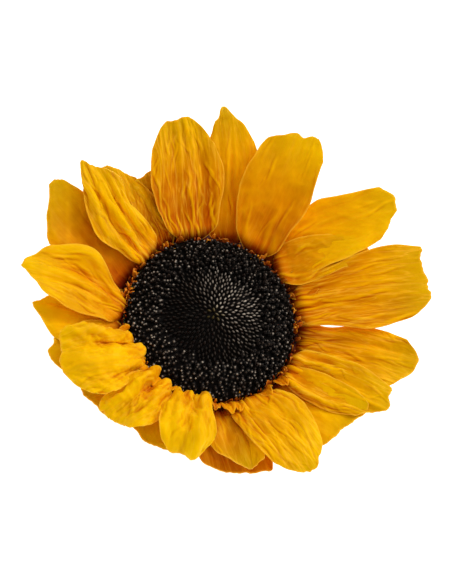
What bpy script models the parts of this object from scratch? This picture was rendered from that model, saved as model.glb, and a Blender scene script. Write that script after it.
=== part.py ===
"""A cut sunflower head, lying face up on the flat cut beneath it.

Metres, +Z up. The origin is the middle of the cut, on the surface that the head lies on, and the
middle of the disc is straight above it. Three solids: the green receptacle with its bracts, the
yellow ray petals on their collar, and the dark disc of florets.
"""

import math
from collections import namedtuple

import bmesh
import bpy
import numpy as np
from mathutils import Vector
from mathutils.geometry import delaunay_2d_cdt

MM = 0.001
GAP = 0.3 * MM
GOLDEN_ANGLE = math.pi * (3 - math.sqrt(5))

# Receptacle, its flat cut and its bracts
CUT_RADIUS = 6.8 * MM
FACE_RADIUS = 29.4 * MM
FACE_HEIGHT = 20 * MM
RECEPTACLE_SIDES = 28
BRACT_THICKNESS = 0.9 * MM
BRACT_ROWS = 7
BRACT_COLUMNS = 3
BRACT_POINT_SHARE = 0.06
BRACT_EDGE_RISE = 0.18

# Disc: a low dome with a steep side
DISC_RADIUS = 27.3 * MM
RIM_HEIGHT = 25.5 * MM
DOME_RISE = 4.5 * MM
DOME_POWER = 2.4
DISC_SIDES = 60

# Florets of the disc, larger than life: open ones outside, low buds in the middle
FLORETS = 420
FLORET_MARGIN = 0.9 * MM
OPEN_RISE = 1.1 * MM
BUD_RISE = 0.5 * MM
GROOVE_DEPTH = 0.2 * MM
BUDS_END = 0.5
OPEN_FROM = 0.66

# Collar that the petals grow from, with a fringe of small teeth against the disc
COLLAR_INNER = 28 * MM
COLLAR_OUTER = 30.4 * MM
COLLAR_TOP = 23.4 * MM
COLLAR_SHOULDER = 22.6 * MM
TEETH = 52
TOOTH_RISE = 1.2 * MM

# Petals: where they start, and what is common to their shapes
ROOT_RADIUS = 28.8 * MM
INNER_LIMIT = 28.5 * MM
ROOT_HEIGHTS = {"front": 23 * MM, "back": 21.7 * MM, "under": 20.9 * MM}
PETAL_THICKNESS = 0.8 * MM
PETAL_ROWS = 9
PETAL_COLUMNS = 7
CORNER_POWER = 7
CORNER_BACK = 0.03
CORNER_IN = 0.08
PLEATS = 3
PLEAT_SWAY = 0.8
EDGE_WAVES = 1.6
SIDE_SHIFT = 1.3
PHASE_STEP = 2.4
SPINE_STEPS = 40

YELLOW = (0.92, 0.52, 0.01)
BLACK_BROWN = (0.02, 0.014, 0.01)
GREEN = (0.16, 0.26, 0.06)

# One petal. azimuth: where it leaves the collar. turn: its heading at the root, from radial. bend: how
# much that heading changes along it. length: in mm. lift: pitch at root, middle and tip. left, right: its
# half widths in mm at each quarter of its length. reach: how far its tip comes, as a share of its length,
# at each quarter of its width from the right edge to the left. cup: how far each edge folds up at root
# and tip. pleat, ruffle: height of folds and of edge waves in mm. Angles are in degrees, anticlockwise
# from above.
Petal = namedtuple("Petal", "layer azimuth turn bend length lift left right reach cup pleat ruffle")


def petal(
    layer, azimuth, turn, bend, length, lift, left, right, reach, cup=(30, 10), pleat=0.35, ruffle=0.8,
):
    return Petal(layer, azimuth, turn, bend, length, lift, left, right, reach, cup, pleat, ruffle)


FRONT = "front"
BACK = "back"
UNDER = "under"
PETALS = (
    petal(FRONT, 46, -8, -4, 46, (40, 20, 8), (6.5, 8.4, 12, 14, 14.2), (9, 11, 14.5, 12.3, 10),
          (0.86, 0.98, 0.98, 0.955, 1)),
    petal(FRONT, 69, -24, -6, 32, (38, 22, 10), (8, 9, 9, 7, 4), (3.5, 7, 6, 5, 3),
          (0.85, 0.95, 1, 0.95, 0.85)),
    petal(BACK, 74, -18, -4, 48, (36, 22, 12), (7, 10.5, 13.2, 11, 10.2), (6, 8, 9, 8.2, 6),
          (0.8, 0.88, 0.97, 0.98, 0.94), pleat=0.1),
    petal(FRONT, 92, 4, 2, 43.5, (44, 30, 18), (5, 10.6, 13.4, 12.4, 9.5), (8.5, 9, 10.6, 9.6, 9),
          (0.88, 1, 0.975, 0.91, 0.8), pleat=0.1),
    petal(BACK, 108, 15, 10, 45.5, (40, 26, 18), (6, 9.5, 9.5, 6.5, 3), (6, 9, 10.5, 11, 12),
          (0.68, 0.87, 1, 0.93, 0.84)),
    petal(FRONT, 132, 2, -2, 40.5, (46, 28, 16), (6.5, 11.2, 13, 11.6, 9.5), (7.6, 10, 11.9, 10.2, 8.5),
          (0.8, 0.965, 1, 0.955, 0.76)),
    petal(BACK, 146, 0, 0, 29.5, (40, 28, 22), (8, 9, 10, 10, 8), (8, 9, 10, 10, 8),
          (1, 0.93, 0.87, 0.83, 0.8)),
    petal(BACK, 156, 4, -4, 33.5, (40, 28, 22), (7, 9, 10, 9, 6), (8, 8, 7, 5, 3),
          (0.76, 0.84, 0.93, 1, 1)),
    petal(FRONT, 168, 8, -24, 40, (50, 32, 18), (3.5, 6.8, 10.8, 7, 4.5), (8, 7.5, 6, 7.5, 6),
          (0.74, 0.87, 0.95, 1, 0.8), pleat=0.6),
    petal(BACK, 184, -14, 0, 41.5, (40, 26, 16), (7, 11, 15, 16.3, 11), (9, 10, 8.5, 5.8, 5),
          (0.85, 0.97, 1, 0.89, 0.7), pleat=0.1),
    petal(FRONT, 209, -22, 24, 40, (48, 28, 14), (5, 8, 10, 9.5, 5), (4.5, 8, 12, 9.6, 6.5),
          (0.8, 0.93, 1, 0.91, 0.8)),
    petal(BACK, 219, -10, -4, 33, (38, 24, 16), (8, 10, 11, 10.4, 6), (8, 7.5, 6, 4.5, 3),
          (0.86, 0.92, 1, 0.9, 0.77)),
    petal(BACK, 229, 0, -2, 29.5, (40, 24, 8), (9, 11, 13, 12.5, 8), (8, 8.5, 8, 6, 4.5),
          (0.87, 0.93, 1, 0.96, 0.8)),
    petal(FRONT, 240, -6, -4, 37.5, (68, 34, -16), (7, 8.5, 11, 13, 10), (9, 7.5, 7.5, 12.6, 12.5),
          (0.93, 0.95, 1, 0.96, 0.82), cup=(4, -14), ruffle=1.4),
    petal(BACK, 256, -8, -4, 24.5, (40, 20, 4), (8, 9, 10, 10, 8), (8, 9, 10, 10, 8),
          (1, 0.97, 0.93, 0.88, 0.8)),
    petal(FRONT, 264, -8, -6, 33, (70, 32, -36), (5.5, 7, 8.6, 9.2, 7), (6, 7, 7, 7, 6.5),
          (0.98, 1, 1, 0.93, 0.78), cup=(4, -20), ruffle=1.4),
    petal(FRONT, 285, 4, 4, 34, (70, 36, -50), (8.5, 7.5, 6.2, 8.2, 6.5), (6.5, 8, 9.6, 9.8, 8),
          (0.89, 0.97, 1, 0.98, 0.8), cup=(4, -12), ruffle=1.2),
    petal(UNDER, 303, 12, 4, 27, (30, 14, 4), (10, 11, 12, 12, 11), (10, 11, 12, 12, 9),
          (0.64, 0.8, 0.9, 0.96, 1)),
    petal(BACK, 310, 2, 2, 26, (46, 26, 4), (4, 5, 6, 6.5, 6), (4, 7, 10, 11, 10),
          (0.64, 0.84, 1, 0.95, 0.88)),
    petal(FRONT, 326, 4, 6, 35.5, (60, 26, -10), (6.5, 10.2, 10.4, 9.2, 6), (7.5, 10.5, 10.6, 10.2, 6.5),
          (0.84, 0.965, 1, 0.95, 0.8), cup=(12, 0)),
    petal(BACK, 344, 8, 6, 32.5, (38, 24, 8), (9, 11, 12, 12, 10), (9, 11, 12, 12, 10),
          (0.8, 0.845, 0.9, 0.97, 1), pleat=0.1),
    petal(FRONT, 358, 3, 6, 36.5, (40, 20, 4), (7.5, 9.5, 10, 9, 7.5), (3.5, 8, 9, 7.5, 5.5),
          (0.78, 0.89, 1, 0.955, 0.98)),
    petal(BACK, 19, -4, -2, 41.5, (38, 18, 4), (9, 7, 9, 8.4, 7.5), (7, 9, 10, 10, 9),
          (0.8, 0.89, 0.985, 0.96, 0.82)),
    petal(BACK, 275, 0, 0, 19.5, (36, 14, 0), (10, 10.5, 10.5, 10, 8), (10, 10.5, 10.5, 10, 8),
          (0.85, 0.95, 1, 0.97, 0.9)),
)

# One row of bracts. first: azimuth of the first one. radius, height: where they leave the receptacle
BractRow = namedtuple("BractRow", "first count radius height length width lift")
BRACTS = (
    BractRow(20, 13, 25.5 * MM, 15.8 * MM, 18 * MM, 11 * MM, (22, 12, 2)),
    BractRow(7, 13, 21 * MM, 12.2 * MM, 18 * MM, 10 * MM, (10, 4, -6)),
)


def clear_scene():
    for thing in list(bpy.data.objects):
        bpy.data.objects.remove(thing)


def material(name, colour, roughness):
    made = bpy.data.materials.new(name)
    made.use_nodes = True
    shader = made.node_tree.nodes["Principled BSDF"]
    shader.inputs["Base Color"].default_value = (*colour, 1)
    shader.inputs["Roughness"].default_value = roughness
    shader.inputs["Metallic"].default_value = 0
    return made


def solid(name, vertices, faces, finish=None):
    """A new object of these faces, turned to point outward."""
    mesh = bpy.data.meshes.new(name)
    mesh.from_pydata([tuple(map(float, vertex)) for vertex in vertices], [], faces)
    shape = bmesh.new()
    shape.from_mesh(mesh)
    bmesh.ops.recalc_face_normals(shape, faces=shape.faces)
    shape.to_mesh(mesh)
    shape.free()
    if finish is not None:
        mesh.materials.append(finish)
    made = bpy.data.objects.new(name, mesh)
    bpy.context.scene.collection.objects.link(made)
    return made


def polar(radius, angle, height):
    return (radius * math.cos(angle), radius * math.sin(angle), height)


def curve(values, t):
    """A smooth curve through evenly spaced values, read at the share t of its length."""
    known = [2 * values[0] - values[1], *values, 2 * values[-1] - values[-2]]
    known = np.array(known, dtype=float)
    place = np.clip(t, 0, 1) * (len(values) - 1)
    first = np.minimum(place.astype(int), len(values) - 2)
    x = place - first
    a, b, c, d = (known[first + step] for step in range(4))
    return b + x * (c - a + x * (2 * a - 5 * b + 4 * c - d + x * (3 * b - a - 3 * c + d))) / 2


def quadratic(values, s):
    """The curve that takes these three values at s = 0, 0.5 and 1."""
    start, middle, end = values
    return start * (1 - s) * (1 - 2 * s) + 4 * middle * s * (1 - s) + end * s * (2 * s - 1)


def bent_sheet(start, heading, bend, length, lift, s, across, rise):
    """A surface carried along a bent line: s along it, across to its left, rise square to both."""
    known = np.linspace(0, 1, SPINE_STEPS + 1)
    pitch = np.radians(quadratic(lift, known))
    turned = np.radians(heading + bend * known)
    level = np.cos(pitch)
    along = np.stack([level * np.cos(turned), level * np.sin(turned), np.sin(pitch)], 1)
    left = np.stack([-np.sin(turned), np.cos(turned), 0 * known], 1)
    up = np.cross(along, left)
    moves = (along[1:] + along[:-1]) / 2 * length / SPINE_STEPS
    middle = np.array(start) + np.concatenate([np.zeros((1, 3)), np.cumsum(moves, 0)])

    def read(values):
        return np.stack([np.interp(s, known, values[:, axis]) for axis in range(3)], -1)

    return read(middle) + read(left) * across[..., None] + read(up) * rise[..., None]


def petal_sheet(one, index, rows, columns):
    """Middle surface of a petal, rows from root to tip by columns from its right edge to its left."""
    u = np.linspace(0, 1, rows)[:, None]
    v = np.linspace(-1, 1, columns)[None, :]
    corner = (u * np.abs(v)) ** CORNER_POWER
    s = np.clip(u * curve(one.reach, (v + 1) / 2) * (1 - CORNER_BACK * corner), 0, 1)
    half = np.where(v < 0, curve(one.right, s), curve(one.left, s)) * MM * (1 - CORNER_IN * corner)
    fold = np.radians(one.cup[0] + (one.cup[1] - one.cup[0]) * s) + 1e-4
    across = half * np.sin(fold * v) / fold
    rise = half * (1 - np.cos(fold * v)) / fold
    phase = PHASE_STEP * index
    swell = np.sin(np.pi * s) ** 0.7
    rise += one.pleat * MM * swell * np.cos(PLEATS * np.pi * v + PLEAT_SWAY * np.sin(2 * s + phase))
    wave = np.sin(2 * np.pi * EDGE_WAVES * s + phase + SIDE_SHIFT * np.sign(v))
    rise += one.ruffle * MM * s * v**2 * wave
    start = polar(ROOT_RADIUS, math.radians(one.azimuth), ROOT_HEIGHTS[one.layer])
    heading = one.azimuth + one.turn
    sheet = bent_sheet(start, heading, one.bend, one.length * MM, one.lift, s, across, rise)
    radius = np.hypot(sheet[..., 0], sheet[..., 1])
    sheet[..., :2] *= np.maximum(1, INNER_LIMIT / radius)[..., None]
    return sheet


def bract_sheet(row, azimuth):
    """Middle surface of a bract: broad below and drawn out to a point, its edges a little raised."""
    u = np.linspace(0, 1, BRACT_ROWS)[:, None]
    v = np.linspace(-1, 1, BRACT_COLUMNS)[None, :]
    s = u + 0 * v
    outline = (1 - s) ** 0.9 * (1 + 1.3 * s)
    half = row.width / 2 * np.maximum(BRACT_POINT_SHARE, outline)
    rise = BRACT_EDGE_RISE * half * np.abs(v) ** 1.5
    start = polar(row.radius, math.radians(azimuth), row.height)
    return bent_sheet(start, azimuth, 0, row.length, row.lift, s, half * v, rise)


def blade(name, sheet, thickness):
    """A closed blade round a middle surface. Both faces are split into triangles alike."""
    rows, columns, _ = sheet.shape
    normal = np.cross(np.gradient(sheet, axis=0), np.gradient(sheet, axis=1))
    normal /= np.linalg.norm(normal, axis=2, keepdims=True)
    count = rows * columns
    top = (sheet + normal * thickness / 2).reshape(-1, 3)
    bottom = (sheet - normal * thickness / 2).reshape(-1, 3)
    faces = []
    for i in range(rows - 1):
        for j in range(columns - 1):
            a = i * columns + j
            b, c, d = a + 1, a + columns + 1, a + columns
            for x, y, z in ((a, d, c), (a, c, b)):
                faces.append((x, y, z))
                faces.append((x + count, z + count, y + count))
    last = count - 1
    border = list(range(columns - 1))
    border += list(range(columns - 1, last, columns))
    border += list(range(last, last - columns + 1, -1))
    border += list(range(last - columns + 1, 0, -columns))
    for here, following in zip(border, border[1:] + border[:1]):
        faces.append((here, following, following + count))
        faces.append((here, following + count, here + count))
    return solid(name, np.concatenate([top, bottom]), faces)


def drop_inner_shells(mesh):
    """Keeps the shell that reaches farthest from the axis, so what blades close in becomes solid."""
    shape = bmesh.new()
    shape.from_mesh(mesh)
    farthest = max(shape.verts, key=lambda vertex: math.hypot(vertex.co.x, vertex.co.y))
    kept = {farthest}
    waiting = [farthest]
    while waiting:
        vertex = waiting.pop()
        for edge in vertex.link_edges:
            other = edge.other_vert(vertex)
            if other not in kept:
                kept.add(other)
                waiting.append(other)
    inner = [vertex for vertex in shape.verts if vertex not in kept]
    bmesh.ops.delete(shape, geom=inner, context="VERTS")
    shape.to_mesh(mesh)
    shape.free()


def fuse(name, base, others, finish):
    """Joins the others to the base as one body, by one Boolean union on their collection."""
    group = bpy.data.collections.new(name + "_repeats")
    bpy.context.scene.collection.children.link(group)
    for other in others:
        bpy.context.scene.collection.objects.unlink(other)
        group.objects.link(other)
    union = base.modifiers.new("union", "BOOLEAN")
    union.operation = "UNION"
    union.operand_type = "COLLECTION"
    union.collection = group
    union.solver = "MANIFOLD"
    graph = bpy.context.evaluated_depsgraph_get()
    mesh = bpy.data.meshes.new_from_object(base.evaluated_get(graph))
    drop_inner_shells(mesh)
    mesh.materials.clear()
    mesh.materials.append(finish)
    for used in [base, *others]:
        bpy.data.objects.remove(used)
    bpy.data.collections.remove(group)
    joined = bpy.data.objects.new(name, mesh)
    bpy.context.scene.collection.objects.link(joined)
    return joined


def receptacle():
    """The swollen end of the stem, cut off flat just beneath the head: a turned profile."""
    profile = (
        (CUT_RADIUS, 0),
        (7.3 * MM, 1.5 * MM),
        (8.5 * MM, 5 * MM),
        (13.5 * MM, 8.5 * MM),
        (21 * MM, 11.8 * MM),
        (26.5 * MM, 15 * MM),
        (29.2 * MM, 18.2 * MM),
        (FACE_RADIUS, FACE_HEIGHT),
    )
    ring = len(profile)
    vertices = []
    faces = []
    for k in range(RECEPTACLE_SIDES):
        angle = 2 * math.pi * k / RECEPTACLE_SIDES
        vertices += [polar(radius, angle, height) for radius, height in profile]
        here = k * ring
        there = (k + 1) % RECEPTACLE_SIDES * ring
        faces += [(here + i, there + i, there + i + 1, here + i + 1) for i in range(ring - 1)]
    faces.append([k * ring for k in range(RECEPTACLE_SIDES)])
    faces.append([k * ring + ring - 1 for k in range(RECEPTACLE_SIDES)])
    return solid("receptacle", vertices, faces)


def calyx(finish):
    bracts = []
    for row in BRACTS:
        for k in range(row.count):
            sheet = bract_sheet(row, row.first + 360 * k / row.count)
            bracts.append(blade(f"bract_{len(bracts):02d}", sheet, BRACT_THICKNESS))
    return fuse("calyx", receptacle(), bracts, finish)


def collar():
    """The ring that the petals are rooted in. Its inner edge rises in small uneven teeth."""
    steps = 2 * TEETH
    vertices = []
    faces = []
    for k in range(steps):
        angle = 2 * math.pi * k / steps
        tooth = TOOTH_RISE * (k % 2) * (0.6 + 0.4 * math.sin(7 * angle))
        vertices.append(polar(COLLAR_INNER, angle, FACE_HEIGHT + GAP))
        vertices.append(polar(COLLAR_OUTER, angle, FACE_HEIGHT + GAP))
        vertices.append(polar(COLLAR_OUTER, angle, COLLAR_SHOULDER))
        vertices.append(polar(COLLAR_INNER, angle, COLLAR_TOP + tooth))
        here = 4 * k
        there = 4 * ((k + 1) % steps)
        for i in range(4):
            j = (i + 1) % 4
            faces.append((here + i, there + i, there + j))
            faces.append((here + i, there + j, here + j))
    return solid("collar", vertices, faces)


def petals(finish):
    blades = []
    for index, one in enumerate(PETALS):
        sheet = petal_sheet(one, index, PETAL_ROWS, PETAL_COLUMNS)
        blades.append(blade(f"petal_{index:02d}", sheet, PETAL_THICKNESS))
    return fuse("petals", collar(), blades, finish)


def dome(radius):
    """Height of the disc's face between its florets."""
    return RIM_HEIGHT + DOME_RISE * (1 - (radius / DISC_RADIUS) ** DOME_POWER)


def floret_rise(radius):
    opened = (radius / DISC_RADIUS - BUDS_END) / (OPEN_FROM - BUDS_END)
    return BUD_RISE + (OPEN_RISE - BUD_RISE) * min(max(opened, 0), 1)


def disc(finish):
    """The face in relief: each floret is a small pyramid on its own cell of the sunflower's spiral,
    with a groove round it."""
    places = []
    vertices = []
    for n in range(FLORETS):
        radius = (DISC_RADIUS - FLORET_MARGIN) * math.sqrt((n + 0.5) / FLORETS)
        place = polar(radius, n * GOLDEN_ANGLE, dome(radius) + floret_rise(radius))
        vertices.append(place)
        places.append(Vector(place[:2]))
    for k in range(DISC_SIDES):
        place = polar(DISC_RADIUS, 2 * math.pi * k / DISC_SIDES, RIM_HEIGHT)
        vertices.append(place)
        places.append(Vector(place[:2]))
    sides = {}
    for cell in delaunay_2d_cdt(places, [], [], 0, 1e-9)[2]:
        x, y = sum((places[n] for n in cell), Vector((0, 0))) / len(cell)
        groove = len(vertices)
        vertices.append((x, y, dome(math.hypot(x, y)) - GROOVE_DEPTH))
        for a, b in zip(cell, cell[1:] + cell[:1]):
            sides.setdefault(frozenset((a, b)), []).append((a, b, groove))
    faces = []
    for shared in sides.values():
        a, b, groove = shared[0]
        if len(shared) == 1:
            faces.append((a, b, groove))
        else:
            other_groove = shared[1][2]
            faces.append((a, other_groove, groove))
            faces.append((b, groove, other_groove))
    foot = len(vertices)
    for k in range(DISC_SIDES):
        x, y = places[FLORETS + k]
        vertices.append((x, y, FACE_HEIGHT + GAP))
        after = (k + 1) % DISC_SIDES
        faces.append((FLORETS + k, foot + k, foot + after, FLORETS + after))
    faces.append([foot + k for k in range(DISC_SIDES)])
    return solid("disc", vertices, faces, finish)


def main():
    clear_scene()
    calyx(material("bract green", GREEN, 0.6))
    petals(material("petal yellow", YELLOW, 0.55))
    disc(material("disc black brown", BLACK_BROWN, 0.6))


main()
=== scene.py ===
"""The looks of a cut sunflower head, lying face up: petals, disc florets, bracts and their finishes.

Metres, +Z up, in the frame of the CAD model. Lengths in the tables below are in millimetres.
"""

import math
from collections import namedtuple

import bpy
import numpy as np
from mathutils import Matrix, Vector


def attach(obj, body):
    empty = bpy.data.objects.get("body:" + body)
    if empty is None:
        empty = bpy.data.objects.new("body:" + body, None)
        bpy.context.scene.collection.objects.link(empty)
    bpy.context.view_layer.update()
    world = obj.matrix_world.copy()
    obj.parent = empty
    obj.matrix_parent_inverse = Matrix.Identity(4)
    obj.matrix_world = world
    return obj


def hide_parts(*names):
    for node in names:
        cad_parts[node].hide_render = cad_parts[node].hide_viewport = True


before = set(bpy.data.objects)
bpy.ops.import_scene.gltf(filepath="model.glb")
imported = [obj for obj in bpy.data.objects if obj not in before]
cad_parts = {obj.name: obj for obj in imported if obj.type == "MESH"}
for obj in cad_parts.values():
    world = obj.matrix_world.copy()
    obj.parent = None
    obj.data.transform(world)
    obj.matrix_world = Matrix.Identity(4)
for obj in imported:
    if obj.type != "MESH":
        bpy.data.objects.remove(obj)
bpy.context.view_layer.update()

MM = 0.001
GOLDEN_ANGLE = math.pi * (3 - math.sqrt(5))
GOLDEN_SHARE = 0.618

# Camera: the photograph's frame, and how its viewer looks down on the head
IMAGE_WIDTH, IMAGE_HEIGHT = 452, 584
ELEVATION = math.radians(65)
ROLL = math.radians(32)
LENS = 85
SENSOR = 36
PIXELS_PER_MM = 3.125
RIM_PIXEL = (212, 318)
RIM_PLANE = 26 * MM
NEAREST_SEEN = 10 * MM

# Studio, in metres and watts: a pale floor with a faint glow, a warm dim sky and one soft lamp. LIT_SIDE is
# the azimuth of the lamp.
FLOOR_REACH = 3.0
FLOOR_COLOUR = (0.9, 0.9, 0.9, 1)
FLOOR_GLOW = 0.75
SKY_COLOUR = (1, 0.94, 0.86, 1)
SKY_STRENGTH = 0.86
LAMP_PLACE = (0.35, 0.75, 0.72)
LAMP_AIM = (0, 0, 0.025)
LAMP_SIZE = 0.6
LAMP_POWER = 5.3
LIT_SIDE = math.radians(65)

# Sockets of a mix node that take and give colours
MIX_INPUTS = (6, 7)
MIX_OUTPUT = 2

# Disc, as in the CAD model, with a shallow trough round its middle. Places on it are shares of its radius.
DISC_RADIUS = 27.3 * MM
RIM_HEIGHT = 25.5 * MM
DOME_RISE = 4.5 * MM
DOME_POWER = 2.4
FACE_HEIGHT = 20.3 * MM
BED_DEPTH = 0.2 * MM
TROUGH_AT = 0.55
TROUGH_WIDTH = 0.13
TROUGH_DEPTH = 1.3 * MM

# Florets stand on a sunflower's spiral. A spread of 0.5 would set all equally far apart; less crowds them
# towards the rim. The spiral's scatter is in radians, inside OPEN_FROM and outside it. From OPEN_FROM on,
# give or take OPEN_BLUR, florets are open, and up to YELLOWISH_TO they are yellowish.
FLORETS = 1320
FLORET_SPREAD = 0.46
FLORET_MARGIN = 0.4 * MM
SPIRAL_SCATTER = (0.018, 0.022)
OPEN_FROM = 0.6
OPEN_BLUR = 0.03
YELLOWISH_TO = 0.1
STANDS_SCATTER = 0.2

# Kinds of florets: radius and its scatter, scatter in radians of the leans outwards and sideways, stretch
# along the spiral's radius, across it and upwards, and how far it stands out in shares of its radius
FloretKind = namedtuple("FloretKind", "size size_scatter lean_scatter side_scatter stretch stands")
FLORET_KINDS = {
    "open": FloretKind(0.67 * MM, 0.12, 0.22, 0.28, (1, 1, 1), 0.7),
    "bud": FloretKind(0.73 * MM, 0.08, 0.08, 0.06, (1.45, 0.68, 0.9), 0.35),
}

# Outlines of florets: radius and height, both in units of the floret's radius
OPEN_CUP = ((0.5, -1.6), (0.62, 0.0), (0.7, 0.5), (0.92, 0.8), (0.5, 0.6), (0.25, 0.5))
CUP_BRIM = 3
OPEN_COLUMN = ((0.22, 0.3), (0.26, 0.95), (0.34, 1.1), (0.45, 1.3), (0.4, 1.5), (0.2, 1.66))
BUD_OUTLINE = ((0.5, -1.6), (0.7, -0.2), (0.66, 0.3), (0.46, 0.72), (0.2, 0.95))
FLORET_SIDES = 10
COLUMN_SIDES = 7

# Layers of petals, from the top one down, and the short curled lobes at the disc's rim
FRONT = "front"
BACK = "back"
UNDER = "under"
FLAP = "flap"

# Where petals are rooted, and how near the middle they may come, below the disc's rim and above it
ROOT_RADIUS = 28.8 * MM
ROOT_HEIGHTS = {FRONT: 23 * MM, BACK: 21.7 * MM, UNDER: 20.9 * MM, FLAP: 22.8 * MM}
INNER_LIMIT = 28.4 * MM
OVER_DISC_LIMIT = 25.5 * MM
OVER_DISC_HEIGHTS = (26 * MM, 27.5 * MM)

# Petal meshes: thickness, points along and across, and steps of the bent line that carries them
PETAL_THICKNESS = 0.34 * MM
PETAL_GRID = (84, 95)
FLAP_GRID = (28, 31)
SPINE_STEPS = 40

# Outline of petals. Corners of the tip lie back and in; roots are pinched, up to a share of the length.
# Edges are uneven in two sizes, given as features to a length. SIDES_APART, a distance in the noise, makes
# the two sides differ.
CORNER_POWER = 7
CORNER_BACK = 0.03
CORNER_IN = 0.08
ROOT_PINCH = {FRONT: 0.6, BACK: 0.3, UNDER: 0.3, FLAP: 0.3}
ROOT_PINCH_END = 0.15
BROAD_PACE = 4
SMALL_PACE = 11
SIDES_APART = 4

# Form of petals. A bulge near the root is a height and a share of the length; on petals that rise more
# steeply than STEEP degrees it breaks up into scallops. Waves of one petal are PHASE_STEP off those of the
# next. NOT_ZERO is added to the angle of the cup, which may be 0, before dividing by it.
NOT_ZERO = 1e-4
ROOT_BULGE = (1.8 * MM, 0.07)
STEEP_ROOT_BULGE = (2.2 * MM, 0.16)
STEEP = 80
SCALLOPS = 2.1
SWELL_POWER = 0.7
PLEATS = 3
PLEAT_SWAY = 0.8
EDGE_WAVES = 1.6
SIDE_SHIFT = 1.3
PHASE_STEP = 2.4

# Surface of petals. Wrinkles: length as a share of the petal's, and breadth. They and the dents grow from
# nothing at the root to their full height at these shares of the length. Curl of the edge: height in mm.
BROAD_LENGTH = 0.45
BROAD_BREADTH = 1.0 * MM
FINE_LENGTH = 0.2
FINE_BREADTH = 0.36 * MM
WRINKLES_FROM = 0.06
DENTS_FROM = 0.2
EDGE_CURL = 0.45
CURL_BREADTH = 1.6 * MM

# Each wrinkle: ranges of where its middle lies along and across the petal, and of its length, height and
# breadth, how far it strays from straight, and how deep and how far off the crease beside it is. All but
# the straying are shares.
WRINKLE_MIDDLES = (0, 0.95)
WRINKLE_PLACES = (-0.97, 0.97)
WRINKLE_LENGTHS = (0.35, 1)
WRINKLE_HEIGHTS = (0.3, 1)
WRINKLE_BREADTHS = (0.7, 1.3)
WRINKLE_STRAY = 0.5 * MM
CREASE_DEPTH = 0.7
CREASE_OFF = 1.7

# Colours of petals: how much of the run from root to tip each layer shows, breadth of the pale rim, a
# painted highlight, where the warmth of the root ends and that of the tip begins, the scale of the finish
# across, and the pale arch over the roots of steep petals, a painted highlight, as its place, its bow and
# its breadth in shares of the length
COLOUR_SHARE = {FRONT: 1, BACK: 1, UNDER: 0.4, FLAP: 0.3}
RIM_BREADTH = 0.4 * MM
WARMTH_PLACES = (0.3, 0.9)
FINISH_BREADTH = 24 * MM
ARCH_AT = 0.16
ARCH_BOW = 0.04
ARCH_BREADTH = 0.045

# Smooth noise: how many waves it sums up and how dense they are
WAVES = 6
WAVE_PACES = (1.8, 4.2)

# Seeds of all random draws. Petals and bracts add their own number to them.
SEEDS = {
    "scales": 5, "florets": 11, "wrinkles": 300, "broad dents": 500, "broad creases": 520,
    "small dents": 550, "small creases": 570, "cracks": 590, "curl": 600, "broad ripple": 700,
    "small ripple": 730, "warmth": 800, "lines": 850, "broad lobes": 900, "small lobes": 950,
    "bract edge": 1200, "bract surface": 1300,
}
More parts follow.
